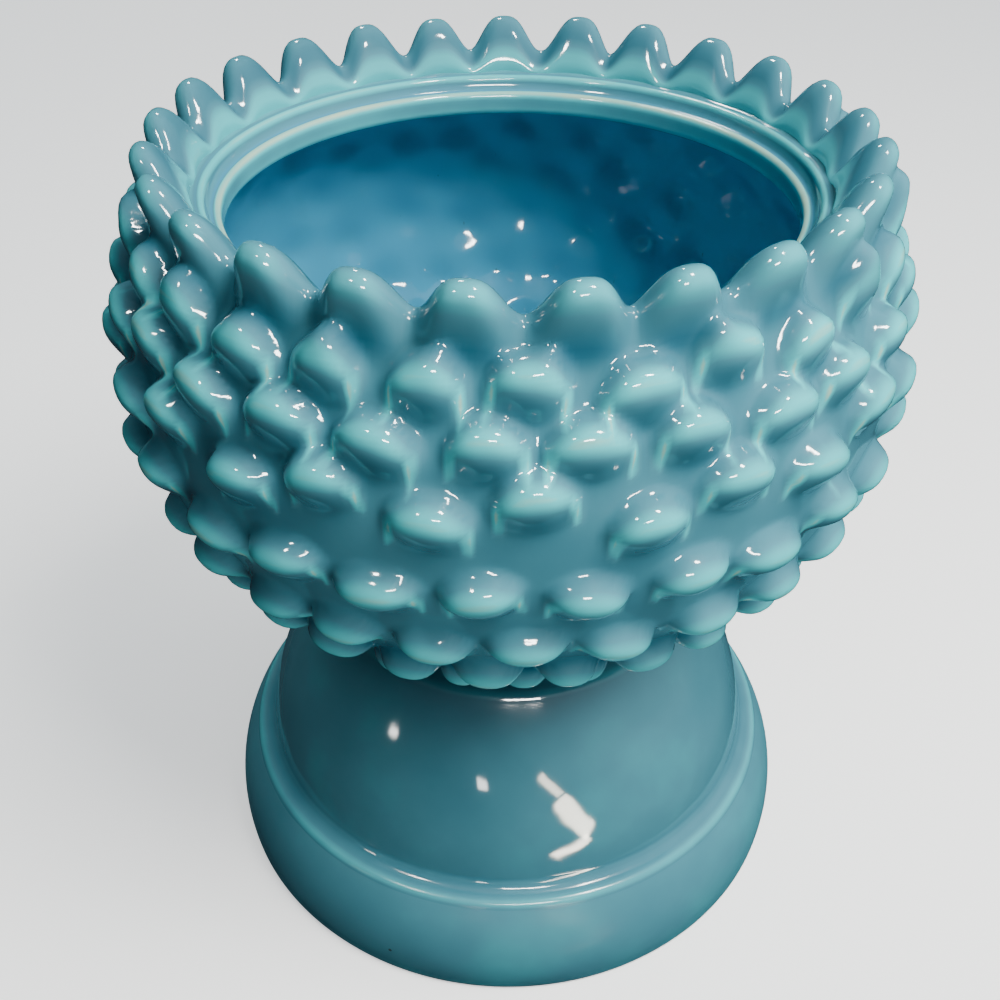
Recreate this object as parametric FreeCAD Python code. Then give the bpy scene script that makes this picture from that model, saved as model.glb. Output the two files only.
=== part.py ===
import FreeCAD, Part
import os
from math import cos, pi, radians, sin, sqrt, tan

os.makedirs("parts", exist_ok=True)
V = FreeCAD.Vector
ORIGIN = V(0, 0, 0)
UP = V(0, 0, 1)

# Foot, in mm
BASE_RADIUS = 99.0
FOOT_HEIGHT = 95.0
SHOULDER_RADIUS = 90.5
SHOULDER_HEIGHT = 35.0
STEP_WIDTH = 5.5
STEP_RISE = 5.0
COLLAR_RADIUS = 59.5
CONE_BULGE = 4.0
NECK_RADIUS = 46.0
NECK_FLARE = 6.0
FOOT_WALL = 7.0
SOFT_EDGE = 1.5

# Bowl, in mm, with the lean of its upper wall in degrees
BELLY_RADIUS = 107.5
BELLY_HEIGHT = 189.0
WALL_CURVE = 80.0
WALL_LEAN = 24.0
BOWL_WALL = 7.5
RIM_HEIGHT = 240.0
RIM_FALL = 3.5

# Mouth ring, in mm
MOUTH_RADIUS = 77.5
LEDGE_RADIUS = 82.0
LIP_DROP = 4.0
LIP_DEPTH = 6.0
RING_ROOT = 13.0

# Crown teeth, in mm, with the turn of the ring in degrees
TEETH = 25
TOOTH_RISE = 10.0
TOOTH_GAP = 1.0
TOOTH_LEAN = 5.5
TOOTH_THICKNESS = 11.0
TOOTH_TURN = -5.7

# Scales, in mm, with the turn of the rows in degrees
SCALE_PAIRS = 14
SCALE_RISE = 8.0
SCALE_GAP = 2.0
TIP_HEIGHT = 5.5
SCALE_TURN = 3.2
SEAT_DEPTH = 3.0

# Place of each row along the wall up from the belly, and its up and down shift
ROWS = [(43.5, 0.6), (27.0, 1.0), (10.5, 3.5), (-12.5, 2.0),
        (-34.0, 1.2), (-54.5, 1.0), (-74.0, 0.8)]

# Centre of the wall curve, measured out from the axis
CURVE_OFFSET = BELLY_RADIUS - WALL_CURVE
LEAN = radians(WALL_LEAN)


def wall_place(place, inset=0.0):
    """Radius, height and lean of the wall at a place along its bare outer face."""
    bend = min(place / WALL_CURVE, LEAN)
    rest = max(place - WALL_CURVE * LEAN, 0.0)
    reach = WALL_CURVE - inset
    r = CURVE_OFFSET + reach * cos(bend) - rest * sin(bend)
    z = BELLY_HEIGHT + reach * sin(bend) + rest * cos(bend)
    return r, z, bend


def wall_radius(z, inset=0.0):
    """Radius of the upper wall at a height, inset from its bare outer face."""
    reach = WALL_CURVE - inset
    return CURVE_OFFSET + reach / cos(LEAN) - (z - BELLY_HEIGHT) * tan(LEAN)


def wall_under(r):
    """Height of the underside of the bowl at a radius."""
    return BELLY_HEIGHT - sqrt(WALL_CURVE ** 2 - (r - CURVE_OFFSET) ** 2)


def turned(start, *steps):
    """Solid turned about the axis from lines (one point) and arcs (two points)."""
    edges = []
    here = V(start[0], 0, start[1])
    first = here
    for step in steps:
        points = [V(p[0], 0, p[1]) for p in step]
        if len(points) == 1:
            edges.append(Part.makeLine(here, points[0]))
        else:
            edges.append(Part.Arc(here, points[0], points[1]).toShape())
        here = points[-1]
    edges.append(Part.makeLine(here, first))
    face = Part.Face(Part.Wire(edges))
    return face.revolve(ORIGIN, UP, 360)


def make_foot():
    """Bell foot, open underneath, with a neck that meets the bowl."""
    cone_r = SHOULDER_RADIUS - STEP_WIDTH
    cone_z = SHOULDER_HEIGHT + STEP_RISE
    inner_neck = NECK_RADIUS - FOOT_WALL
    inner_base = BASE_RADIUS - FOOT_WALL
    top_z = FOOT_HEIGHT - FOOT_WALL
    middle = NECK_RADIUS - FOOT_WALL / 2
    belly = (BASE_RADIUS - 0.18 * (BASE_RADIUS - SHOULDER_RADIUS), 0.58 * SHOULDER_HEIGHT)
    cove = (cone_r + 0.35 * STEP_WIDTH, SHOULDER_HEIGHT + 0.30 * STEP_RISE)
    run = cone_r - COLLAR_RADIUS
    climb = FOOT_HEIGHT - cone_z
    swell = CONE_BULGE / sqrt(run ** 2 + climb ** 2)
    cone_mid = (COLLAR_RADIUS + run / 2 + swell * climb, cone_z + climb / 2 + swell * run)
    inner_mid = (cone_mid[0] - FOOT_WALL, cone_mid[1] - (FOOT_WALL + STEP_RISE) / 2)
    soft = SOFT_EDGE * (1 - sqrt(0.5))
    flare = NECK_FLARE * (1 - sqrt(0.5))
    return turned(
        (inner_base, 0),
        [(BASE_RADIUS - SOFT_EDGE, 0)],
        [(BASE_RADIUS - soft, soft), (BASE_RADIUS, SOFT_EDGE)],
        [belly, (SHOULDER_RADIUS, SHOULDER_HEIGHT)],
        [cove, (cone_r, cone_z)],
        [cone_mid, (COLLAR_RADIUS, FOOT_HEIGHT - SOFT_EDGE)],
        [(COLLAR_RADIUS - soft, FOOT_HEIGHT - soft), (COLLAR_RADIUS - SOFT_EDGE, FOOT_HEIGHT)],
        [(NECK_RADIUS + NECK_FLARE, FOOT_HEIGHT)],
        [(NECK_RADIUS + flare, FOOT_HEIGHT + flare), (NECK_RADIUS, FOOT_HEIGHT + NECK_FLARE)],
        [(NECK_RADIUS, wall_under(NECK_RADIUS))],
        [(middle, wall_under(middle)), (inner_neck, wall_under(inner_neck))],
        [(inner_neck, top_z)],
        [(COLLAR_RADIUS - FOOT_WALL, top_z)],
        [inner_mid, (cone_r - FOOT_WALL, cone_z - STEP_RISE)],
        [(SHOULDER_RADIUS - FOOT_WALL, SHOULDER_HEIGHT - STEP_RISE)],
        [(belly[0] - FOOT_WALL, belly[1] - STEP_RISE)],
    )


def make_bowl():
    """Bowl wall with a flat floor inside and out and a rim that falls inward."""
    floor = BELLY_HEIGHT - WALL_CURVE
    inner_rim = RIM_HEIGHT - RIM_FALL
    top = WALL_CURVE * LEAN
    top_out = wall_place(top)
    top_in = wall_place(top, BOWL_WALL)
    return turned(
        (0, floor),
        [(CURVE_OFFSET, floor)],
        [(BELLY_RADIUS, BELLY_HEIGHT), top_out],
        [(wall_radius(RIM_HEIGHT), RIM_HEIGHT)],
        [(wall_radius(inner_rim, BOWL_WALL), inner_rim)],
        [top_in],
        [(BELLY_RADIUS - BOWL_WALL, BELLY_HEIGHT), (CURVE_OFFSET, floor + BOWL_WALL)],
        [(0, floor + BOWL_WALL)],
    )


def make_mouth_ring():
    """Stepped ring whose outer face is the inner face of the bowl wall."""
    top = RIM_HEIGHT - RIM_FALL
    root = top - RING_ROOT
    ledge = top - (wall_radius(top, BOWL_WALL) - LEDGE_RADIUS) * RIM_FALL / BOWL_WALL
    lip = ledge - LIP_DROP
    bead = (LEDGE_RADIUS - MOUTH_RADIUS) / 2
    return turned(
        (MOUTH_RADIUS, lip - LIP_DEPTH),
        [(MOUTH_RADIUS, lip - bead / 2)],
        [(MOUTH_RADIUS + bead / 2, lip), (MOUTH_RADIUS + bead, lip - bead / 4)],
        [(MOUTH_RADIUS + 1.5 * bead, lip - bead / 8), (LEDGE_RADIUS, ledge)],
        [(wall_radius(top, BOWL_WALL), top)],
        [(wall_radius(root, BOWL_WALL), root)],
    )


def make_tooth(body):
    """One upright tooth at the front, standing on the rim."""
    rim_r = wall_radius(RIM_HEIGHT)
    half_width = (2 * pi * rim_r / TEETH - TOOTH_GAP) / 2
    half_thick = TOOTH_THICKNESS / 2
    foot_z = RIM_HEIGHT - 0.7 * RIM_FALL
    # Share of the rise, share of the width and share of the thickness
    slices = [(0.0, 1.0, 0.95), (0.25, 0.9, 1.0), (0.5, 0.72, 0.94),
              (0.75, 0.6, 0.84), (0.93, 0.4, 0.58), (1.0, 0.16, 0.24)]
    wires = []
    for rise, wide, thick in slices:
        z = foot_z + rise * (RIM_HEIGHT + TOOTH_RISE - foot_z)
        centre = V(0, -(rim_r + rise * TOOTH_LEAN), z)
        side = centre + V(wide * half_width, 0, 0)
        front = centre + V(0, -thick * half_thick, 0)
        wires.append(Part.Wire([Part.Ellipse(side, front, centre).toShape()]))
    return Part.makeLoft(wires, True, False).cut(body)


def make_scale(place, fall, body):
    """One scale at the front, with its fat tip at a place along the wall."""
    r, z, bend = wall_place(place)
    out = V(0, -cos(bend), sin(bend))
    along = V(0, sin(bend), cos(bend))
    side = V(1, 0, 0)
    seat = V(0, -r, z)
    half_width = pi * r / (2 * SCALE_PAIRS) - SCALE_GAP / 2
    rise = min(SCALE_RISE, 0.95 * half_width)
    # Place along the scale, share of the width and share of the rise
    slices = [(TIP_HEIGHT, 0.5, -0.2), (0.6 * TIP_HEIGHT, 0.86, 0.7), (0.0, 1.0, 1.0),
              (-0.8 * TIP_HEIGHT, 0.97, 0.62), (-0.5 * fall, 0.84, 0.34),
              (-0.75 * fall, 0.5, 0.2), (-fall, 0.2, -0.2)]
    wires = []
    for step, wide, high in slices:
        middle = seat + along * step
        left = middle - side * (wide * half_width) - out * SEAT_DEPTH
        right = middle + side * (wide * half_width) - out * SEAT_DEPTH
        crest = middle + out * (high * rise)
        round_face = Part.Arc(left, crest, right).toShape()
        wires.append(Part.Wire([round_face, Part.makeLine(right, left)]))
    return Part.makeLoft(wires, True, False).cut(body)


def make_row(index, body, below):
    """A row of scales in pairs, one higher and one lower, laid over by the row below."""
    place, shift = ROWS[index]
    last = place - ROWS[index - 1][0]
    fall = place - ROWS[index + 1][0] if index + 1 < len(ROWS) else -last
    pitch = 180.0 / SCALE_PAIRS
    turn = SCALE_TURN if index % 2 == 0 else -SCALE_TURN
    pair = []
    for i, lift in enumerate((shift, -shift)):
        scale = make_scale(place + lift, fall, body)
        scale.rotate(ORIGIN, UP, turn + i * pitch)
        pair.append(scale.cut(below) if below else scale)
    solids = []
    for i in range(SCALE_PAIRS):
        for scale in pair:
            copy = scale.copy()
            copy.rotate(ORIGIN, UP, 2 * pitch * i)
            solids.extend(copy.Solids)
    return Part.makeCompound(solids)


foot = make_foot()
bowl = make_bowl()
ring = make_mouth_ring()
foot.exportStep("parts/foot.step")
bowl.exportStep("parts/bowl_shell.step")
ring.exportStep("parts/mouth_ring.step")

tooth = make_tooth(bowl)
teeth = []
for i in range(TEETH):
    copy = tooth.copy()
    copy.rotate(ORIGIN, UP, TOOTH_TURN + 360.0 / TEETH * i)
    teeth.extend(copy.Solids)
Part.makeCompound(teeth).exportStep("parts/crown_scales.step")

below = None
for index in reversed(range(len(ROWS))):
    below = make_row(index, bowl, below)
    below.exportStep("parts/scale_row_%d.step" % (index + 1))
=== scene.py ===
import math
import random

import bmesh
import bpy
import numpy as np
from mathutils import Matrix, Vector


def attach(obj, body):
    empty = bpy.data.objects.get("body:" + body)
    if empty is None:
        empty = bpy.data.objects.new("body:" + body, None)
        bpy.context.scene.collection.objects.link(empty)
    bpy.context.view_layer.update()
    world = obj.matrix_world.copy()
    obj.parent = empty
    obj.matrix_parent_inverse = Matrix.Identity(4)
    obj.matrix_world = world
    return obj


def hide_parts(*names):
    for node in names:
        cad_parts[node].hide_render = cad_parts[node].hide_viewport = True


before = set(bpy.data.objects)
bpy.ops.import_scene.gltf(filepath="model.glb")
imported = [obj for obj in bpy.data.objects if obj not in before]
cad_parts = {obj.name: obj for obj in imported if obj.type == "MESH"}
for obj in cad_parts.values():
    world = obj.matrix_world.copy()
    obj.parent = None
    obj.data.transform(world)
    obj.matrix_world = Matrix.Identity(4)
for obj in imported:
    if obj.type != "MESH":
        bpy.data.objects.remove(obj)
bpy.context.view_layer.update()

bl_info = {
    "name": "Pine-cone cachepot",
    "version": (1, 0, 0),
    "blender": (4, 5, 0),
    "location": "3D View > Sidebar > Cachepot",
    "description": "Models and glazes a footed pot with pressed clay scales",
    "category": "Mesh",
}

MM = 0.001
SCALE_NODES = sorted(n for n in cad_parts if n.startswith("scale_row_"))

# Place of each row of scales along the wall up from the belly, its up and down shift,
# and how far the crest of its scales lies above that place, in mm
ROWS = [(43.5, 1.2, -0.5), (27.0, 1.0, 3.0), (10.5, 3.5, 3.5), (-12.5, 2.0, 3.5),
        (-34.0, 1.2, 3.5), (-54.5, 1.0, 3.0), (-74.0, 0.8, 3.0)]

# Section of a crown tooth in mm: place along the rim's section from its top, negative outside
# the bowl, then how far the rim is pulled out and up there
TOOTH = [(-17.0, 0.0, 0.0), (-13.0, 0.2, 0.6), (-10.0, 1.0, 2.2), (-7.5, 2.4, 4.4), (-5.0, 4.4, 6.8),
         (-3.0, 5.6, 8.7), (0.0, 5.0, 10.0), (2.0, 3.5, 9.7), (4.0, 2.3, 8.6), (6.0, 1.6, 6.2),
         (8.0, 0.8, 2.8), (9.5, 0.0, 0.0)]

FOOT_STEPS, BOWL_STEPS, QUICK_BOWL_STEPS, INSIDE_STEPS = 220, 500, 300, 216

SOFT_WHITE, WHITE, WARM = "#FFFCF6", "#FFFDF9", "#FFF3DF"

# Name, place, width and height in metres, roll in degrees, power in watts and colour of each light.
# The first word of a name says what the light does: see LIGHT_KINDS
LAMPS = [("soft_key", (0.38, -0.31, 0.94), 0.42, 0.42, 0, 16.0, SOFT_WHITE),
         ("soft_side", (0.98, 0.0, 0.78), 0.40, 0.40, 0, 4.0, SOFT_WHITE),
         ("fill_front", (0.30, -0.85, 0.12), 0.50, 0.30, 0, 5.0, SOFT_WHITE),
         ("base_front", (-0.20, -0.52, 1.05), 0.50, 0.50, 0, 4.0, SOFT_WHITE),
         ("fill_back", (-0.45, 0.80, 0.45), 0.50, 0.50, 0, 8.0, WHITE),
         ("base_back", (-0.45, 0.80, 0.45), 0.50, 0.50, 0, 5.0, WHITE),
         ("bulb_right", (0.36, -0.30, 1.04), 0.11, 0.17, 0, 9.0, WHITE),
         ("bulb_front", (0.12, -0.75, 0.62), 0.26, 0.08, 0, 8.0, WHITE),
         ("bulb_left", (-0.42, -0.50, 0.85), 0.10, 0.07, 0, 3.4, WHITE),
         ("bulb_back", (-0.12, 0.62, 0.95), 0.10, 0.12, 0, 4.0, WHITE),
         ("glint_top", (0.207, -0.642, 0.063), 0.15, 0.04, -55, 0.6, WARM),
         ("glint_middle", (0.299, -0.583, -0.104), 0.22, 0.075, -50, 2.4, WARM),
         ("glint_low", (0.264, -0.539, -0.232), 0.17, 0.045, 35, 1.2, WARM),
         ("glint_dot", (-0.109, -0.665, 0.088), 0.045, 0.045, 0, 0.2, WHITE),
         ("glint_left", (-0.515, -0.411, 0.161), 0.05, 0.035, 0, 0.2, WHITE)]

# For each kind of light: whether it lights the clay, whether it shows in the gloss, and the only
# piece that it reaches, if there is one
LIGHT_KINDS = {"soft": (True, False, None), "fill": (True, False, "scaled_bowl"),
               "base": (True, False, "bell_foot"), "bulb": (False, True, None),
               "glint": (False, True, "bell_foot")}


def linear(code):
    """Linear colour of an sRGB hex value."""
    values = [int(code[i:i + 2], 16) / 255.0 for i in (1, 3, 5)]
    return [v / 12.92 if v <= 0.04045 else ((v + 0.055) / 1.055) ** 2.4 for v in values]


def length(name, text, value):
    """A size in metres, given in mm."""
    return bpy.props.FloatProperty(name=name, description=text, default=value * MM, unit="LENGTH")


def colour(name, text, code):
    """A colour given as an sRGB hex value."""
    return bpy.props.FloatVectorProperty(name=name, description=text, subtype="COLOR", size=3,
                                         min=0.0, max=1.0, default=linear(code))


class PotSizes(bpy.types.PropertyGroup):
    """Sizes of the clay, as in the CAD model."""
    base_radius: length("Base radius", "Outer radius of the standing ring", 99.0)
    foot_height: length("Foot height", "Height of the flat top of the foot", 95.0)
    shoulder_radius: length("Shoulder radius", "Radius at the top of the skirt", 90.5)
    shoulder_height: length("Shoulder height", "Height of the top of the skirt", 35.0)
    step_width: length("Step width", "Width of the cove between skirt and cone", 5.5)
    step_rise: length("Step rise", "Rise of the cove between skirt and cone", 5.0)
    collar_radius: length("Collar radius", "Radius of the flat top of the foot", 59.5)
    neck_radius: length("Neck radius", "Radius of the neck under the bowl", 46.0)
    foot_wall: length("Foot wall", "Thickness of the foot", 7.0)
    belly_radius: length("Belly radius", "Bare wall at its widest", 107.5)
    belly_height: length("Belly height", "Height of the widest place", 189.0)
    wall_curve: length("Wall curve", "Radius of the wall in section", 80.0)
    wall_lean: bpy.props.FloatProperty(name="Wall lean", description="Lean of the upper wall",
                                       default=math.radians(24.0), subtype="ANGLE")
    bowl_wall: length("Bowl wall", "Thickness of the bowl", 7.5)
    rim_height: length("Rim height", "Height of the rim between the teeth", 240.0)
    mouth_radius: length("Mouth radius", "Clear radius of the mouth", 77.5)
    ledge_radius: length("Ledge radius", "Radius of the ledge in the mouth", 82.0)


class ScaleLayout(bpy.types.PropertyGroup):
    """How the scales and teeth are set around the bowl."""
    pairs: bpy.props.IntProperty(name="Pairs", description="Pairs of scales in a row", default=14)
    turn: bpy.props.FloatProperty(name="Row turn", description="Turn of the first row",
                                  default=math.radians(3.2), subtype="ANGLE")
    gap: length("Gap", "Bare wall between two scales", 2.0)
    teeth: bpy.props.IntProperty(name="Teeth", description="Teeth in the crown", default=25)
    tooth_turn: bpy.props.FloatProperty(name="Crown turn", description="Turn of the crown",
                                        default=math.radians(-5.7), subtype="ANGLE")
    hand: bpy.props.FloatProperty(name="Hand", description="How uneven the hand setting is",
                                  default=1.0)
    seed: bpy.props.IntProperty(name="Seed", description="Choice of uneven setting", default=4)
    rise: length("Rise", "How far a scale stands out from the wall", 6.6)
    tip_above: length("Tip above", "Reach of a tip above its crest", 4.8)
    tip_below: length("Tip below", "Reach of a tip below its crest", 11.0)
    front_length: length("Front", "Length of a scale below its crest", 17.0)
    ridge_width: length("Ridge width", "Width of the thin ridges below the ends of a tip", 1.3)
    streak_width: length("Streak width", "Width of the thin glaze along those ridges", 1.1)
    dimple: length("Dimple", "Depth of the hollow pressed in behind a scale", 2.4)
    grain: length("Grain", "Step of the modelled clay surface", 1.25)
    melt: bpy.props.IntProperty(name="Melt", description="How far the glaze softens the edges",
                                default=3)


class GlazeColours(bpy.types.PropertyGroup):
    """Colours of the fired glaze and of the bare clay."""
    # On the scales the pale colour is also reached by painted highlight, the pooled one by painted shade
    thin: colour("Thin glaze", "Where the glaze ran off an edge", "#C6CCA2")
    pale: colour("Pale glaze", "Where the glaze thins on a tip", "#47BCC3")
    body: colour("Body glaze", "Where the glaze lies even", "#447F8E")
    pooled: colour("Pooled glaze", "Where the glaze ran together", "#08455C")
    inside: colour("Inside glaze", "Thick glaze inside the bowl", "#3788A8")
    clay: colour("Fired clay", "Bare clay at the standing ring", "#DCCFB4")
    speck: colour("Iron speck", "Small burnt specks in the glaze", "#1B2A2C")


class StudioSetup(bpy.types.PropertyGroup):
    """Camera and light of the studio."""
    camera_place: bpy.props.FloatVectorProperty(name="Camera", description="Place of the camera",
                                                default=(0.0, -0.3038, 0.3556), subtype="TRANSLATION")
    camera_turn: bpy.props.FloatVectorProperty(name="Camera turn", description="Turn of the camera",
                                               default=[math.radians(a) for a in (52.671, -0.207, 0.698)],
                                               subtype="EULER")
    lens: bpy.props.FloatProperty(name="Lens", description="Focal length in mm", default=42.03)
    light_way: bpy.props.FloatVectorProperty(name="Light", subtype="DIRECTION",
                                             description="Way to the bright side of the room",
                                             default=(0.60, -0.18, 0.78))
    room_dark: colour("Dark room", "Room to the left and below", "#273038")
    room_dim: colour("Dim room", "Room between its dark and bright sides", "#6C767C")
    room_bright: colour("Bright room", "Room above and to the right", "#E5F7FF")
    floor_colour: colour("Floor", "Paper of the studio floor", "#F4F4F4")
    floor_glow: bpy.props.FloatProperty(name="Floor glow", description="Light of the paper itself",
                                        default=0.8)


def deselect():
    """Object mode with nothing selected."""
    if bpy.context.object and bpy.context.object.mode != "OBJECT":
        bpy.ops.object.mode_set(mode="OBJECT")
    bpy.ops.object.select_all(action="DESELECT")


def make_active(piece):
    """Only this piece selected and active."""
    deselect()
    piece.select_set(True)
    bpy.context.view_layer.objects.active = piece


def apply_modifier(piece, kind, **settings):
    """One modifier added with its settings and applied."""
    make_active(piece)
    modifier = piece.modifiers.new(kind.title(), kind)
    for key, value in settings.items():
        setattr(modifier, key, value)
    bpy.ops.object.modifier_apply(modifier=modifier.name)


def outline(start, *steps, spacing=1.2):
    """Points of a section from lines (one point) and arcs (two points), in mm."""
    points = [start]
    for step in steps:
        a, end = Vector(points[-1]), Vector(step[-1])
        if len(step) == 1:
            count = max(1, round((end - a).length / spacing))
            points += [tuple(a.lerp(end, i / count)) for i in range(1, count + 1)]
            continue
        m = Vector(step[0])
        u, v = m - a, end - a
        d = 2 * (u.x * v.y - u.y * v.x)
        c = a + Vector((v.y * u.length_squared - u.y * v.length_squared,
                        u.x * v.length_squared - v.x * u.length_squared)) / d
        r = (a - c).length
        first = math.atan2(a.y - c.y, a.x - c.x)
        sweep = math.atan2(end.y - c.y, end.x - c.x) - first
        way = math.copysign(1.0, d)
        sweep = way * ((way * sweep) % (2 * math.pi))
        count = max(2, round(abs(sweep) * r / spacing))
        for i in range(1, count + 1):
            t = first + sweep * i / count
            points.append((c.x + r * math.cos(t), c.y + r * math.sin(t)))
    return points


def turn_on_wheel(name, points, segments, closed):
    """A piece turned about the axis from a section: a circle laid on the section, then spun."""
    deselect()
    bpy.ops.mesh.primitive_circle_add(vertices=len(points), radius=0.1)
    piece = bpy.context.object
    piece.name = piece.data.name = name
    bpy.ops.object.mode_set(mode="EDIT")
    mesh = bmesh.from_edit_mesh(piece.data)
    mesh.verts.ensure_lookup_table()
    for vert, (r, z) in zip(mesh.verts, points):
        vert.co = (r * MM, 0.0, z * MM)
    if not closed:
        # An open section ends on the axis at both ends, so the edge between them goes
        ends = {mesh.verts[0], mesh.verts[len(points) - 1]}
        for part in [*mesh.edges, *mesh.verts]:
            part.select = False
        for edge in mesh.edges:
            if set(edge.verts) == ends:
                edge.select = True
        bmesh.update_edit_mesh(piece.data)
        bpy.ops.mesh.select_mode(type="EDGE")
        bpy.ops.mesh.delete(type="EDGE")
    bpy.ops.mesh.select_mode(type="VERT")
    bpy.ops.mesh.select_all(action="SELECT")
    bpy.ops.mesh.spin(steps=segments, angle=2 * math.pi, center=(0, 0, 0), axis=(0, 0, 1))
    bpy.ops.mesh.select_all(action="SELECT")
    bpy.ops.mesh.remove_doubles(threshold=0.00002)
    bpy.ops.mesh.normals_make_consistent(inside=False)
    bpy.ops.object.mode_set(mode="OBJECT")
    return piece


def wall_at(sizes, place, inset=0.0):
    """Radius and height of the bare wall, in mm, at a place along it up from the belly."""
    curve = sizes.wall_curve / MM
    bend = min(place / curve, sizes.wall_lean)
    rest = max(place - curve * sizes.wall_lean, 0.0)
    reach = curve - inset
    r = sizes.belly_radius / MM - curve + reach * math.cos(bend) - rest * math.sin(bend)
    z = sizes.belly_height / MM + reach * math.sin(bend) + rest * math.cos(bend)
    return r, z


def wall_radius(sizes, z, inset=0.0):
    """Radius of the upper wall, in mm, at a height."""
    curve, lean = sizes.wall_curve / MM, sizes.wall_lean
    fall = (z - sizes.belly_height / MM) * math.tan(lean)
    return sizes.belly_radius / MM - curve + (curve - inset) / math.cos(lean) - fall


def scale_seats(sizes, layout):
    """Where each scale sits: turn around the axis, place along the wall, half width and roll."""
    # Set by hand: up to 1.6 mm along the wall, 0.012 radians around, 7% in width, 11 degrees of roll
    chance = random.Random(layout.seed)
    pitch = math.pi / layout.pairs
    seats = []
    for row, (place, shift, crest) in enumerate(ROWS):
        turn = layout.turn if row % 2 == 0 else -layout.turn
        for i in range(2 * layout.pairs):
            lift = shift if i % 2 == 0 else -shift
            jog = [layout.hand * chance.uniform(-1, 1) for _ in range(4)]
            at = place + crest + lift + 1.6 * jog[0]
            wide = pitch / 2 * wall_at(sizes, at)[0] - 0.5 * layout.gap / MM
            seats.append((turn + i * pitch + 0.012 * jog[1], at, wide * (1 + 0.07 * jog[2]),
                          math.radians(11.0) * jog[3]))
    return seats


def ease(t):
    """Soft step from 0 to 1."""
    t = np.clip(t, 0.0, 1.0)
    return t * t * (3.0 - 2.0 * t)


def hood(layout, x, y, wide, droop):
    """One scale at x across and y up from its crest, in mm: its height as a share of the full
    rise, and where its glaze runs thin, with painted highlight over the top of the tip. The front
    rises slowly to a fat tip that curls out and drops steeply behind, and two thin ridges run
    down from the ends of the tip."""
    above, below = layout.tip_above / MM, layout.tip_below / MM
    # The tip is an oval that bends down at its ends, with a blunt back and a softer front
    bent = y + droop * (x / (0.84 * wide)) ** 2
    side = 1.0 - np.abs(x / (0.95 * wide)) ** 2.2
    left = np.clip(side - (bent / np.where(bent > 0.0, above, below)) ** 2, 0.0, 1.0)
    tip = left ** np.where(bent > 0.0, 0.66, 0.66 + 0.6 * ease(-bent / 7.0))
    down = np.clip(-y / (layout.front_length / MM), 0.0, 1.0)
    front = np.exp(-(x / (0.70 * wide)) ** 2) * (1.0 - down) ** 1.5 * (1.0 - ease(bent / 4.0))
    # Ridges start just below the crest, lean apart and end above the next row
    off = (np.abs(x) - (0.76 + 0.08 * down) * wide) * MM
    ridge = np.exp(-(off / layout.ridge_width) ** 2) * ease((13.0 + y) / 8.0) * ease((-1.0 - y) / 5.0)
    # Glaze runs thin on the tip, most along its crest, and in a streak down each ridge; the cap over the
    # tip is thin glaze and painted highlight from above
    streak = np.exp(-(off / layout.streak_width) ** 2) * ease((16.0 + y) / 11.0) * ease((1.0 - y) / 6.0)
    crest = np.exp(-((bent + 0.4) / 2.0) ** 2) * ease(left / 0.3)
    thin_and_lit_cap = ease((left - 0.1) / 0.9) * ease((bent + 7.0) / 7.0)
    thin = np.maximum(0.46 * thin_and_lit_cap + 0.28 * crest, 0.95 * streak)
    return tip + (1.0 - tip) * np.maximum(0.24 * front, 0.16 * ridge), thin


def scale_relief(sizes, layout, turn, place):
    """Height of the scales in mm, how far a place lies under a tip, where painted shade goes, and how thin
    the glaze is there, with painted highlight on the tips.
    """
    height, under, thin = np.zeros(len(turn)), np.zeros(len(turn)), np.zeros(len(turn))
    for at_turn, at, wide, roll in scale_seats(sizes, layout):
        x = (np.remainder(turn - at_turn + math.pi, 2 * math.pi) - math.pi) * wall_at(sizes, at)[0]
        y = place - at
        # Only the clay around this scale is worked on
        near = (np.abs(x) < 2.0 * wide) & (np.abs(y) < 32.0)
        across = x[near] * math.cos(roll) + y[near] * math.sin(roll)
        up = y[near] * math.cos(roll) - x[near] * math.sin(roll)
        # The ends of a tip droop more in the upper rows
        droop = 1.2 + 1.6 * ease((at + 20.0) / 50.0)
        rise, pale = hood(layout, across, up, wide, droop)
        height[near] += rise ** 3
        thin[near] = np.maximum(thin[near], pale)
        # Painted shade: the place below each tip, to be darkened
        below = np.exp(-(across / (0.50 * wide)) ** 2 - ((up + 8.5) / 4.5) ** 2)
        under[near] = np.maximum(under[near], below)
    # Scales that meet run into each other softly
    return np.cbrt(height) * layout.rise / MM, under, thin


def smoothed(points, edges, times):
    """Points after each has moved to the middle of its neighbours a number of times."""
    count = np.bincount(edges.ravel(), minlength=len(points)).astype(float)
    count[count == 0] = 1.0
    for _ in range(times):
        moved = np.empty_like(points)
        for k in range(3):
            total = np.bincount(edges[:, 0], points[edges[:, 1], k], len(points))
            total += np.bincount(edges[:, 1], points[edges[:, 0], k], len(points))
            moved[:, k] = total / count
        points = 0.5 * points + 0.5 * moved
    return points


def mesh_arrays(piece):
    """Places, normals and edges of a mesh."""
    mesh = piece.data
    points = np.empty(len(mesh.vertices) * 3)
    normals = np.empty(len(mesh.vertices) * 3)
    edges = np.empty(len(mesh.edges) * 2, np.int64)
    mesh.vertices.foreach_get("co", points)
    mesh.vertices.foreach_get("normal", normals)
    mesh.edges.foreach_get("vertices", edges)
    return points.reshape(-1, 3), normals.reshape(-1, 3), edges.reshape(-1, 2)


def store(piece, name, values):
    """A value for each vertex, kept with the mesh for its material."""
    layer = piece.data.attributes.new(name, "FLOAT", "POINT")
    layer.data.foreach_set("value", np.clip(values, 0.0, 1.0).astype(np.float32))


def edge_rise(piece, fine, broad):
    """How far each vertex stands out, in mm, from its near and from its wider surroundings:
    above 0 on an edge, where glaze runs off, and below 0 in a hollow, where it pools."""
    points, normals, edges = mesh_arrays(piece)
    near = smoothed(points, edges, fine)
    far = smoothed(near, edges, broad)
    return [np.einsum("ij,ij->i", normals, points - soft) / MM for soft in (near, far)]


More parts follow.
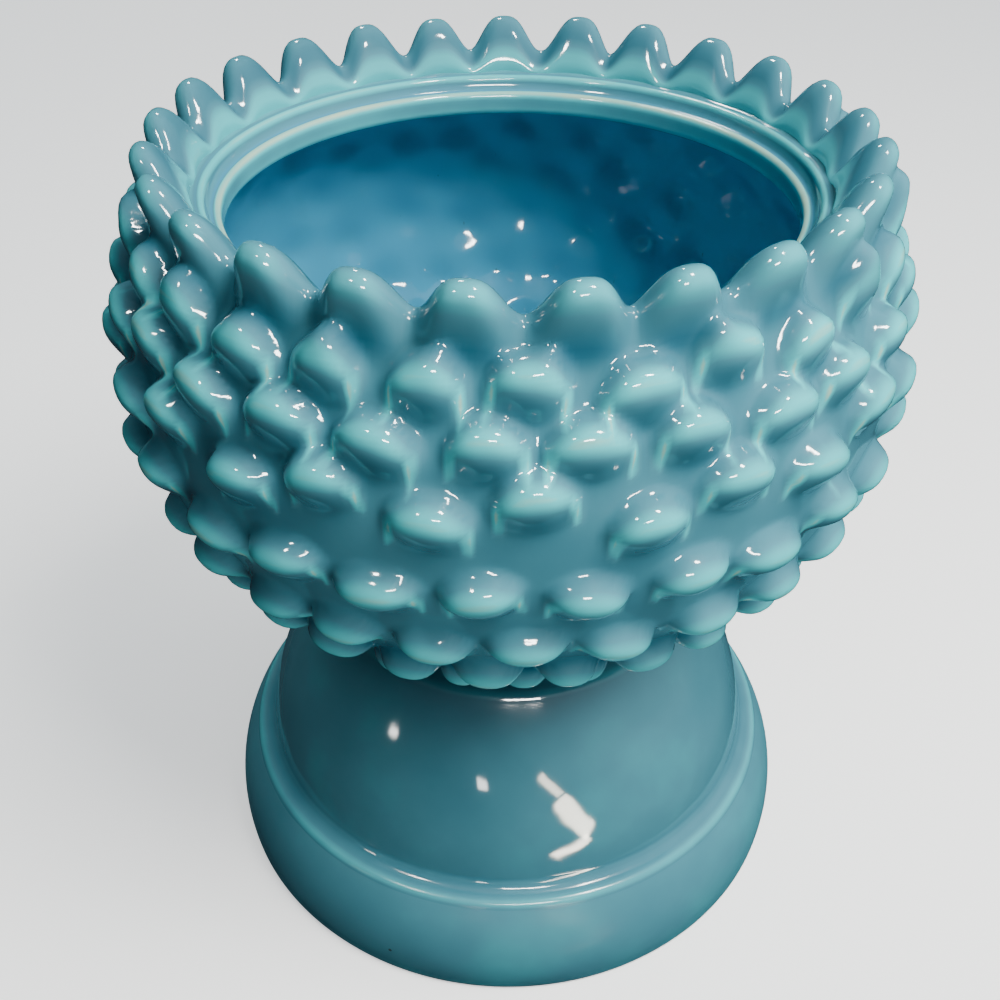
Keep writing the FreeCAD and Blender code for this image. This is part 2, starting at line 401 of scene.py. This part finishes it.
def add_node(tree, kind, settings=None, links=None):
    """One node with its settings, and links from other sockets into its inputs."""
    node = tree.nodes.new(kind)
    for key, value in (settings or {}).items():
        if isinstance(key, str) and hasattr(node, key):
            setattr(node, key, value)
        else:
            node.inputs[key].default_value = value
    for key, socket in (links or {}).items():
        tree.links.new(socket, node.inputs[key])
    return node


def glaze(name, pooled, bare=None):
    """Lead-type turquoise majolica glaze, dipped and fired: glass-like gloss over earthenware,
    pale where it ran off edges, deep where it pooled, with slow cloudy shifts and rare specks.
    On the scales its level also carries painted highlight and painted shade."""
    colours = bpy.context.scene.glaze_colours
    material = bpy.data.materials.new(name)
    material.use_nodes = True
    tree = material.node_tree
    tree.nodes.clear()
    place = add_node(tree, "ShaderNodeTexCoord").outputs["Object"]
    # Level from each piece: glaze thickness, and on the scales also painted highlight and painted shade
    edge = add_node(tree, "ShaderNodeAttribute", {"attribute_name": "glaze_thin_and_painted_light"}).outputs["Fac"]
    # Clouds 30 mm across where the dipped coat lies thicker or thinner
    cloud = add_node(tree, "ShaderNodeTexNoise", {"Scale": 1 / 0.030, "Detail": 3.0}, {"Vector": place})
    shift = add_node(tree, "ShaderNodeMath", {"operation": "MULTIPLY_ADD", 1: 0.22, 2: -0.11},
                     {0: cloud.outputs["Fac"]})
    level = add_node(tree, "ShaderNodeMath", {"operation": "ADD", "use_clamp": True},
                     {0: edge, 1: shift.outputs[0]})
    ramp = add_node(tree, "ShaderNodeValToRGB", None, {"Fac": level.outputs[0]})
    stops = ramp.color_ramp.elements
    stops[0].position, stops[0].color = 0.12, (*pooled, 1.0)
    stops[1].position, stops[1].color = 0.95, (*colours.thin, 1.0)
    for at, tone in ((0.46, colours.body), (0.70, colours.pale)):
        stops.new(at).color = (*tone, 1.0)
    # Iron specks up to 1.4 mm wide, a few on each side of the pot
    cells = add_node(tree, "ShaderNodeTexVoronoi", {"Scale": 1 / 0.034}, {"Vector": place})
    speck = add_node(tree, "ShaderNodeMath", {"operation": "LESS_THAN", 1: 0.020},
                     {0: cells.outputs["Distance"]})
    colour_out = add_node(tree, "ShaderNodeMix", {"data_type": "RGBA", 7: (*colours.speck, 1.0)},
                          {0: speck.outputs[0], 6: ramp.outputs["Color"]}).outputs[2]
    # Ripple 9 mm across left by the brush and the running glaze
    ripple = add_node(tree, "ShaderNodeTexNoise", {"Scale": 1 / 0.009, "Detail": 1.0}, {"Vector": place})
    bump = add_node(tree, "ShaderNodeBump", {"Strength": 0.12, "Distance": 0.0006},
                    {"Height": ripple.outputs["Fac"]})
    # Roughness from 0.05 to 0.11 with the clouds
    rough = add_node(tree, "ShaderNodeMath", {"operation": "MULTIPLY_ADD", 1: 0.06, 2: 0.05},
                     {0: cloud.outputs["Fac"]})
    shader = add_node(tree, "ShaderNodeBsdfPrincipled", {"IOR": 1.56},
                      {"Base Color": colour_out, "Roughness": rough.outputs[0], "Normal": bump.outputs[0]})
    if bare is not None:
        # Slower, deeper wave 14 mm across on the smooth foot bends the reflected lights
        wave = add_node(tree, "ShaderNodeTexNoise", {"Scale": 1 / 0.014, "Detail": 0.0}, {"Vector": place})
        swell = add_node(tree, "ShaderNodeBump", {"Strength": 0.45, "Distance": 0.0006},
                         {"Height": wave.outputs["Fac"], "Normal": bump.outputs[0]})
        tree.links.new(swell.outputs[0], shader.inputs["Normal"])
        # Wiped standing ring: bare clay below an uneven line about 0.8 mm up
        height = add_node(tree, "ShaderNodeSeparateXYZ", None, {0: place}).outputs["Z"]
        uneven = add_node(tree, "ShaderNodeTexNoise", {"Scale": 1 / 0.012}, {"Vector": place})
        line = add_node(tree, "ShaderNodeMath", {"operation": "MULTIPLY", 1: 0.0016},
                        {0: uneven.outputs["Fac"]})
        wiped = add_node(tree, "ShaderNodeMath", {"operation": "LESS_THAN"},
                         {0: height, 1: line.outputs[0]})
        mixed = add_node(tree, "ShaderNodeMix", {"data_type": "RGBA", 7: (*bare, 1.0)},
                         {0: wiped.outputs[0], 6: colour_out})
        # Satin skirt where the coat is thinner, from the step down: the change lies 36 to 32 mm up
        at_step = {1: 0.036, 2: 0.032}
        satin = add_node(tree, "ShaderNodeMapRange", {**at_step, 3: 0.0, 4: 0.22}, {0: height})
        worn = add_node(tree, "ShaderNodeMath", {"operation": "ADD"},
                        {0: rough.outputs[0], 1: satin.outputs[0]})
        dull = add_node(tree, "ShaderNodeMix", {3: 0.75}, {0: wiped.outputs[0], 2: worn.outputs[0]})
        gloss = add_node(tree, "ShaderNodeMapRange", {**at_step, 3: 0.5, 4: 0.12}, {0: height})
        tree.links.new(gloss.outputs[0], shader.inputs["Specular IOR Level"])
        tree.links.new(mixed.outputs[2], shader.inputs["Base Color"])
        tree.links.new(dull.outputs[0], shader.inputs["Roughness"])
    add_node(tree, "ShaderNodeOutputMaterial", None, {"Surface": shader.outputs[0]})
    return material


def finish_piece(piece, material, slot, *nodes):
    """Smooth shading, its glaze, its body and the CAD nodes it stands for. The slot is not used."""
    make_active(piece)
    bpy.ops.object.shade_smooth()
    piece.data.materials.clear()
    piece.data.materials.append(material)
    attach(piece, "root")
    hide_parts(*nodes)


class POT_OT_foot(bpy.types.Operator):
    """Turns the bell foot with its skirt, cove, cone, flat top and neck"""
    bl_idname = "pot.foot"
    bl_label = "Bell foot"

    def execute(self, context):
        s = context.scene.pot_sizes
        base, top, wall = s.base_radius / MM, s.foot_height / MM, s.foot_wall / MM
        shoulder, skirt = s.shoulder_radius / MM, s.shoulder_height / MM
        cone_r, cone_z = shoulder - s.step_width / MM, skirt + s.step_rise / MM
        collar, neck = s.collar_radius / MM, s.neck_radius / MM
        curve = s.wall_curve / MM
        offset = s.belly_radius / MM - curve
        # Underside of the bowl above the neck, and the fullest place of the skirt
        under = s.belly_height / MM - math.sqrt(curve ** 2 - (neck - offset) ** 2)
        belly = (base - 0.18 * (base - shoulder), 0.58 * skirt)
        inner = base - wall
        # Up the outside and down the inside, with small offsets that round the edges
        points = outline(
            (inner, 1.2), [(inner + 0.4, 0.4), (inner + 1.2, 0.0)], [(base - 1.6, 0.0)],
            [(base - 0.5, 0.5), (base, 1.6)], [belly, (shoulder + 1.0, skirt - 2.2)],
            [(shoulder + 0.1, skirt - 0.7), (shoulder - 1.4, skirt - 0.1)],
            [(cone_r + 1.9, skirt + 0.5), (cone_r + 0.6, skirt + 1.6)],
            [(cone_r + 0.2, skirt + 2.3), (cone_r - 0.4, skirt + 3.4)],
            [((cone_r + collar) / 2 + 3.6, (cone_z + top) / 2 + 1.7), (collar + 0.8, top - 1.8)],
            [(collar - 0.3, top - 0.6), (collar - 2.4, top)], [(neck + 6.0, top)],
            [(neck + 1.8, top + 1.8), (neck, top + 6.0)], [(neck, under + 2.0)],
            [(neck - wall, under + 1.0)], [(neck - wall, top - wall)], [(collar - wall, top - wall)],
            [(cone_r - wall, cone_z - 5.0)], [(shoulder - wall, skirt - 5.0)],
            [(belly[0] - wall, belly[1] - 5.0)], [(inner, 1.2)], spacing=1.0)
        piece = turn_on_wheel("bell_foot", points[:-1], FOOT_STEPS, True)
        near, far = edge_rise(piece, 3, 30)
        # Even glaze, thinner on edges and thicker in hollows
        store(piece, "glaze_thin_and_painted_light", 0.43 + 0.55 * near + 0.03 * far)
        c = context.scene.glaze_colours
        material = glaze("glazed_earthenware_foot", c.pooled, c.clay)
        finish_piece(piece, material, "foot_glaze", "foot")
        return {"FINISHED"}


class POT_OT_scaled_bowl(bpy.types.Operator):
    """Turns the bowl, raises the scales and the crown on it and softens them under the glaze"""
    bl_idname = "pot.scaled_bowl"
    bl_label = "Scaled bowl"

    def execute(self, context):
        s, layout = context.scene.pot_sizes, context.scene.scale_layout
        curve, lean = s.wall_curve / MM, s.wall_lean
        offset, belly = s.belly_radius / MM - curve, s.belly_height / MM
        rim, ledge = s.rim_height / MM, s.ledge_radius / MM
        # The skin starts under the lowest row, and its hidden inner side lies within the wall
        low, inset = -98.0, 5.0
        fine = layout.grain / MM * 1.0
        bend, top = curve * lean, wall_radius(s, rim)
        start = wall_at(s, low)
        under = outline((0.0, belly - curve), [(offset, belly - curve)],
                        [wall_at(s, 0.5 * (low - curve * math.pi / 2)), start], spacing=5.0)
        side = outline(start, [wall_at(s, 0.5 * (low + bend)), wall_at(s, bend)],
                       [(wall_radius(s, rim - 6.0), rim - 6.0)], spacing=fine)
        edge = outline(side[-1], [(wall_radius(s, rim - 1.2), rim - 1.2)],
                       [(top - 0.8, rim + 0.3), (top - 3.0, rim + 0.2)], [(ledge + 2.0, rim - 4.6)],
                       spacing=0.55 * fine)
        inner = outline(edge[-1], [(ledge + 2.6, rim - 9.0)],
                        [(wall_radius(s, rim - 12.0, inset), rim - 12.0)], [wall_at(s, bend, inset)],
                        [(offset + curve - inset, belly), (offset, belly - curve + inset)],
                        [(0.0, belly - curve + inset)], spacing=6.0)
        points = under + side[1:] + edge[1:] + inner[1:]
        steps = BOWL_STEPS
        piece = turn_on_wheel("scaled_bowl", points, steps, False)
        # Turn, place along the wall and distance from it, for each vertex
        points, _, _ = mesh_arrays(piece)
        r, z = np.hypot(points[:, 0], points[:, 1]) / MM, points[:, 2] / MM
        turn = np.arctan2(points[:, 0], -points[:, 1])
        angle = np.arctan2(z - belly, r - offset)
        flat = (z - belly) * math.cos(lean) - (r - offset) * math.sin(lean)
        place = np.where(angle < lean, curve * angle, bend + flat)
        proud = np.where(angle < lean, np.hypot(r - offset, z - belly),
                         (r - offset) * math.cos(lean) + (z - belly) * math.sin(lean)) - curve
        tilt = np.minimum(angle, lean)
        outer = np.abs(proud) < 0.3
        # Scales fade out at the lower end of the skin and under the crown
        height, shade_under_tip, thin = scale_relief(s, layout, turn, place)
        fade = ease((place - low) / 6.0) * (1.0 - ease((place - 47.0) / 8.0)) * outer
        lift = height * fade
        dr = lift * np.cos(tilt)
        dz = lift * np.sin(tilt)
        # Crown teeth: the rim is pulled up and leaned out, by its way from the middle of its top
        last = bend + (rim - wall_at(s, bend)[1]) / math.cos(lean)
        middle = top - 1.6
        across = np.hypot(r - middle, z - rim - 0.3)
        way = np.where(outer, place - last - 1.5, np.where(r < middle, across, -across))
        crown = ((z > rim - 14.0) & (r > ledge + 1.9)).astype(float)
        # Set by hand: up to 0.008 radians around, 3% in width and 5% in height
        chance = random.Random(layout.seed + 1)
        raise_up = np.zeros(len(points))
        for i in range(layout.teeth):
            jog = [layout.hand * chance.uniform(-1, 1) for _ in range(3)]
            at = layout.tooth_turn + 2 * math.pi * i / layout.teeth + 0.008 * jog[0]
            off = np.remainder(turn - at + math.pi, 2 * math.pi) - math.pi
            half = math.pi / layout.teeth * (1.0 + 0.03 * jog[1])
            tooth = 1.0 - (0.5 - 0.5 * np.cos(np.clip(math.pi * off / half, -math.pi, math.pi))) ** 1.7
            raise_up = np.maximum(raise_up, tooth * (1.0 + 0.05 * jog[2]))
        stations, out, up = zip(*TOOTH)
        dr += crown * raise_up * np.interp(way, stations, out)
        dz += crown * raise_up * np.interp(way, stations, up)
        points += np.stack([np.sin(turn) * dr, -np.cos(turn) * dr, dz], axis=1) * MM
        piece.data.vertices.foreach_set("co", points.ravel())
        piece.data.update()
        apply_modifier(piece, "SMOOTH", factor=0.5, iterations=layout.melt)
        # Glaze is thin on tips and ridges, with painted highlight on the tops of the tips; painted shade
        # darkens the place under a tip, and painted shade with some pooled glaze darkens the gaps between
        # the lower scales
        pooled_and_shaded = ease((-36.0 - place) / 26.0) * (1.0 - ease(lift / 3.5)) * outer
        shade = 0.37 + 0.50 * thin * ease(lift / 0.3) - 0.08 * shade_under_tip * fade - 0.26 * pooled_and_shaded
        # On the crown it is thin along the edge of a tooth, with painted highlight on its outer top, and
        # painted shade darkens a tooth's root under its lip; inside, thin glaze and painted highlight make
        # the slope paler and painted shade darkens the inner faces of the teeth
        tooth_glaze_and_shade = 0.20 * np.exp(-((way + 2.0) / 3.2) ** 2) - 0.16 * np.exp(-((way + 9.5) / 2.6) ** 2)
        inner_glaze_light_and_shade = 0.36 * ease((way - 4.5) / 3.0) - 0.07 * ease((way - 0.5) / 3.0)
        store(piece, "glaze_thin_and_painted_light", shade + (tooth_glaze_and_shade * raise_up + inner_glaze_light_and_shade) * crown)
        c = context.scene.glaze_colours
        material = glaze("glazed_earthenware_scales", c.pooled)
        finish_piece(piece, material, "scale_glaze", "bowl_shell", "crown_scales", *SCALE_NODES)
        return {"FINISHED"}


class POT_OT_inside(bpy.types.Operator):
    """Turns the inside of the bowl with the stepped mouth ring, dimpled behind the scales"""
    bl_idname = "pot.inside"
    bl_label = "Inside and mouth ring"

    def execute(self, context):
        s, layout = context.scene.pot_sizes, context.scene.scale_layout
        curve, lean = s.wall_curve / MM, s.wall_lean
        offset, belly = s.belly_radius / MM - curve, s.belly_height / MM
        # The hidden outer side of this piece lies within the wall
        wall, hidden = s.bowl_wall / MM, 4.0
        rim, mouth, ledge = s.rim_height / MM, s.mouth_radius / MM, s.ledge_radius / MM
        top_in, top_hidden = [wall_at(s, curve * lean, inset) for inset in (wall, hidden)]
        points = outline(
            (0.0, belly - curve + hidden), [(offset, belly - curve + hidden)],
            [(offset + curve - hidden, belly), top_hidden],
            [(wall_radius(s, rim - 8.0, hidden), rim - 8.0)],
            [(ledge + 6.6, rim - 2.4)], [(ledge + 1.6, rim - 5.1)],
            [(ledge + 0.5, rim - 5.0), (ledge - 0.4, rim - 6.0)],
            [(ledge - 0.9, rim - 8.0), (mouth + 2.6, rim - 9.4)],
            [(mouth + 1.2, rim - 9.0), (mouth + 0.1, rim - 10.4)],
            [(mouth, rim - 14.4)], [(mouth + 0.6, rim - 15.8), (mouth + 2.2, rim - 16.4)],
            [(wall_radius(s, rim - 18.0, wall) - 2.5, rim - 17.4)],
            [(wall_radius(s, rim - 19.4, wall) - 0.8, rim - 18.4),
             (wall_radius(s, rim - 20.6, wall), rim - 20.6)], [top_in],
            [(offset + curve - wall, belly), (offset, belly - curve + wall)],
            [(0.0, belly - curve + wall)], spacing=1.0)
        piece = turn_on_wheel("bowl_inside", points, INSIDE_STEPS, False)
        # Soft hollows pressed into the wall below the ring, one behind each scale
        points, normals, _ = mesh_arrays(piece)
        r, z = np.hypot(points[:, 0], points[:, 1]) / MM, points[:, 2] / MM
        skin = (np.hypot(r - offset, z - belly) < curve - 0.5 * (wall + hidden)) & (z < rim - 21.0)
        push = np.zeros(len(points))
        for turn, at, wide, _ in scale_seats(s, layout):
            here = wall_at(s, at - 3.0, wall)
            spot = Matrix.Rotation(turn, 4, "Z") @ Vector((0, -here[0] * MM, here[1] * MM))
            gap = np.linalg.norm(points - np.array(spot), axis=1) / (0.62 * wide * MM)
            push = np.maximum(push, layout.dimple * np.exp(-gap ** 2))
        points[skin] -= normals[skin] * push[skin, None]
        piece.data.vertices.foreach_set("co", points.ravel())
        piece.data.update()
        # Thin glaze on the ring, thick glaze below it
        near, far = edge_rise(piece, 3, 24)
        deep = np.clip((rim - 14.0 - points[:, 2] / MM) / 6.0, 0.0, 1.0)
        store(piece, "glaze_thin_and_painted_light", (0.54 + near + 0.04 * far) * (1 - deep) + 0.12 * deep)
        c = context.scene.glaze_colours
        material = glaze("glazed_earthenware_inside", c.inside)
        finish_piece(piece, material, "mouth_glaze", "mouth_ring")
        return {"FINISHED"}


class POT_OT_stage(bpy.types.Operator):
    """Lays the pale floor and sets the soft lights and the camera"""
    bl_idname = "pot.stage"
    bl_label = "Studio"

    def execute(self, context):
        setup = context.scene.studio_setup
        deselect()
        bpy.ops.mesh.primitive_plane_add(size=6.0, location=(0, 0, 0))
        floor = context.object
        floor.name = "studio_floor"
        paper = bpy.data.materials.new("studio_paper")
        paper.use_nodes = True
        shader = paper.node_tree.nodes["Principled BSDF"]
        shader.inputs["Base Color"].default_value = (*setup.floor_colour, 1.0)
        shader.inputs["Roughness"].default_value = 0.9
        shader.inputs["Emission Color"].default_value = (1.0, 1.0, 1.0, 1.0)
        shader.inputs["Emission Strength"].default_value = setup.floor_glow
        floor.data.materials.append(paper)
        floor.visible_glossy = False
        floor.visible_diffuse = False
        world = bpy.data.worlds.new("studio_air")
        world.use_nodes = True
        tree = world.node_tree
        aim = add_node(tree, "ShaderNodeTexCoord").outputs["Generated"]
        # Bright room above and to the right, dark to the left and below
        toward = add_node(tree, "ShaderNodeVectorMath",
                          {"operation": "DOT_PRODUCT", 1: setup.light_way}, {0: aim})
        level = add_node(tree, "ShaderNodeMapRange", {1: -1.0, 2: 1.0}, {0: toward.outputs["Value"]})
        sky = add_node(tree, "ShaderNodeValToRGB", None, {"Fac": level.outputs[0]})
        stops = sky.color_ramp.elements
        stops[0].position, stops[0].color = 0.42, (*setup.room_dark, 1.0)
        stops[1].position, stops[1].color = 0.95, (*setup.room_bright, 1.0)
        stops.new(0.70).color = (*setup.room_dim, 1.0)
        tree.links.new(sky.outputs["Color"], tree.nodes["Background"].inputs["Color"])
        tree.nodes["Background"].inputs["Strength"].default_value = 1.0
        context.scene.world = world
        # Some lights reach one piece only
        reach = {}
        for piece in ("bell_foot", "scaled_bowl"):
            reach[piece] = bpy.data.collections.new(piece + "_light")
            reach[piece].objects.link(bpy.data.objects[piece])
        for name, place, wide, high, roll, power, tint in LAMPS:
            bpy.ops.object.light_add(type="AREA", location=place)
            lamp = context.object
            lamp.name = name
            lamp.data.shape = "RECTANGLE"
            lamp.data.size, lamp.data.size_y = wide, high
            lamp.data.energy = power
            lamp.data.color = linear(tint)
            lamp.visible_diffuse, lamp.visible_glossy, only = LIGHT_KINDS[name.split("_")[0]]
            if only:
                lamp.light_linking.receiver_collection = reach[only]
            # Each light looks at the pot at its own height, or at the bowl from above
            aim = Vector((0, 0, min(place[2], 0.15))) - Vector(place)
            spin = Matrix.Rotation(math.radians(roll), 4, "Z")
            lamp.rotation_euler = (aim.to_track_quat("-Z", "Y").to_matrix().to_4x4() @ spin).to_euler()
        bpy.ops.object.camera_add(location=setup.camera_place, rotation=setup.camera_turn)
        camera = context.object
        camera.data.sensor_width = 36.0
        camera.data.lens = setup.lens
        camera.data.clip_start = 0.01
        context.scene.camera = camera
        return {"FINISHED"}


class POT_PT_panel(bpy.types.Panel):
    """Sizes, colours and steps of the pot"""
    bl_idname = "POT_PT_panel"
    bl_label = "Cachepot"
    bl_space_type = "VIEW_3D"
    bl_region_type = "UI"
    bl_category = "Cachepot"

    def draw(self, context):
        for group in GROUPS:
            values = getattr(context.scene, group)
            box = self.layout.box()
            for key in values.bl_rna.properties.keys():
                if key not in ("rna_type", "name"):
                    box.prop(values, key)
        for step in STEPS:
            self.layout.operator(step.bl_idname)


GROUPS = {"pot_sizes": PotSizes, "scale_layout": ScaleLayout,
          "glaze_colours": GlazeColours, "studio_setup": StudioSetup}
STEPS = [POT_OT_foot, POT_OT_scaled_bowl, POT_OT_inside, POT_OT_stage]


def register():
    """Settings on the scene, then the steps and the panel."""
    for group, kind in GROUPS.items():
        bpy.utils.register_class(kind)
        setattr(bpy.types.Scene, group, bpy.props.PointerProperty(type=kind))
    for kind in [*STEPS, POT_PT_panel]:
        bpy.utils.register_class(kind)


def unregister():
    """Everything that register added goes again."""
    for kind in [POT_PT_panel, *reversed(STEPS)]:
        bpy.utils.unregister_class(kind)
    for group, kind in GROUPS.items():
        delattr(bpy.types.Scene, group)
        bpy.utils.unregister_class(kind)


def main():
    """Makes the pot and its studio."""
    register()
    bpy.ops.pot.foot()
    bpy.ops.pot.scaled_bowl()
    bpy.ops.pot.inside()
    bpy.ops.pot.stage()


if __name__ == "__main__":
    main()
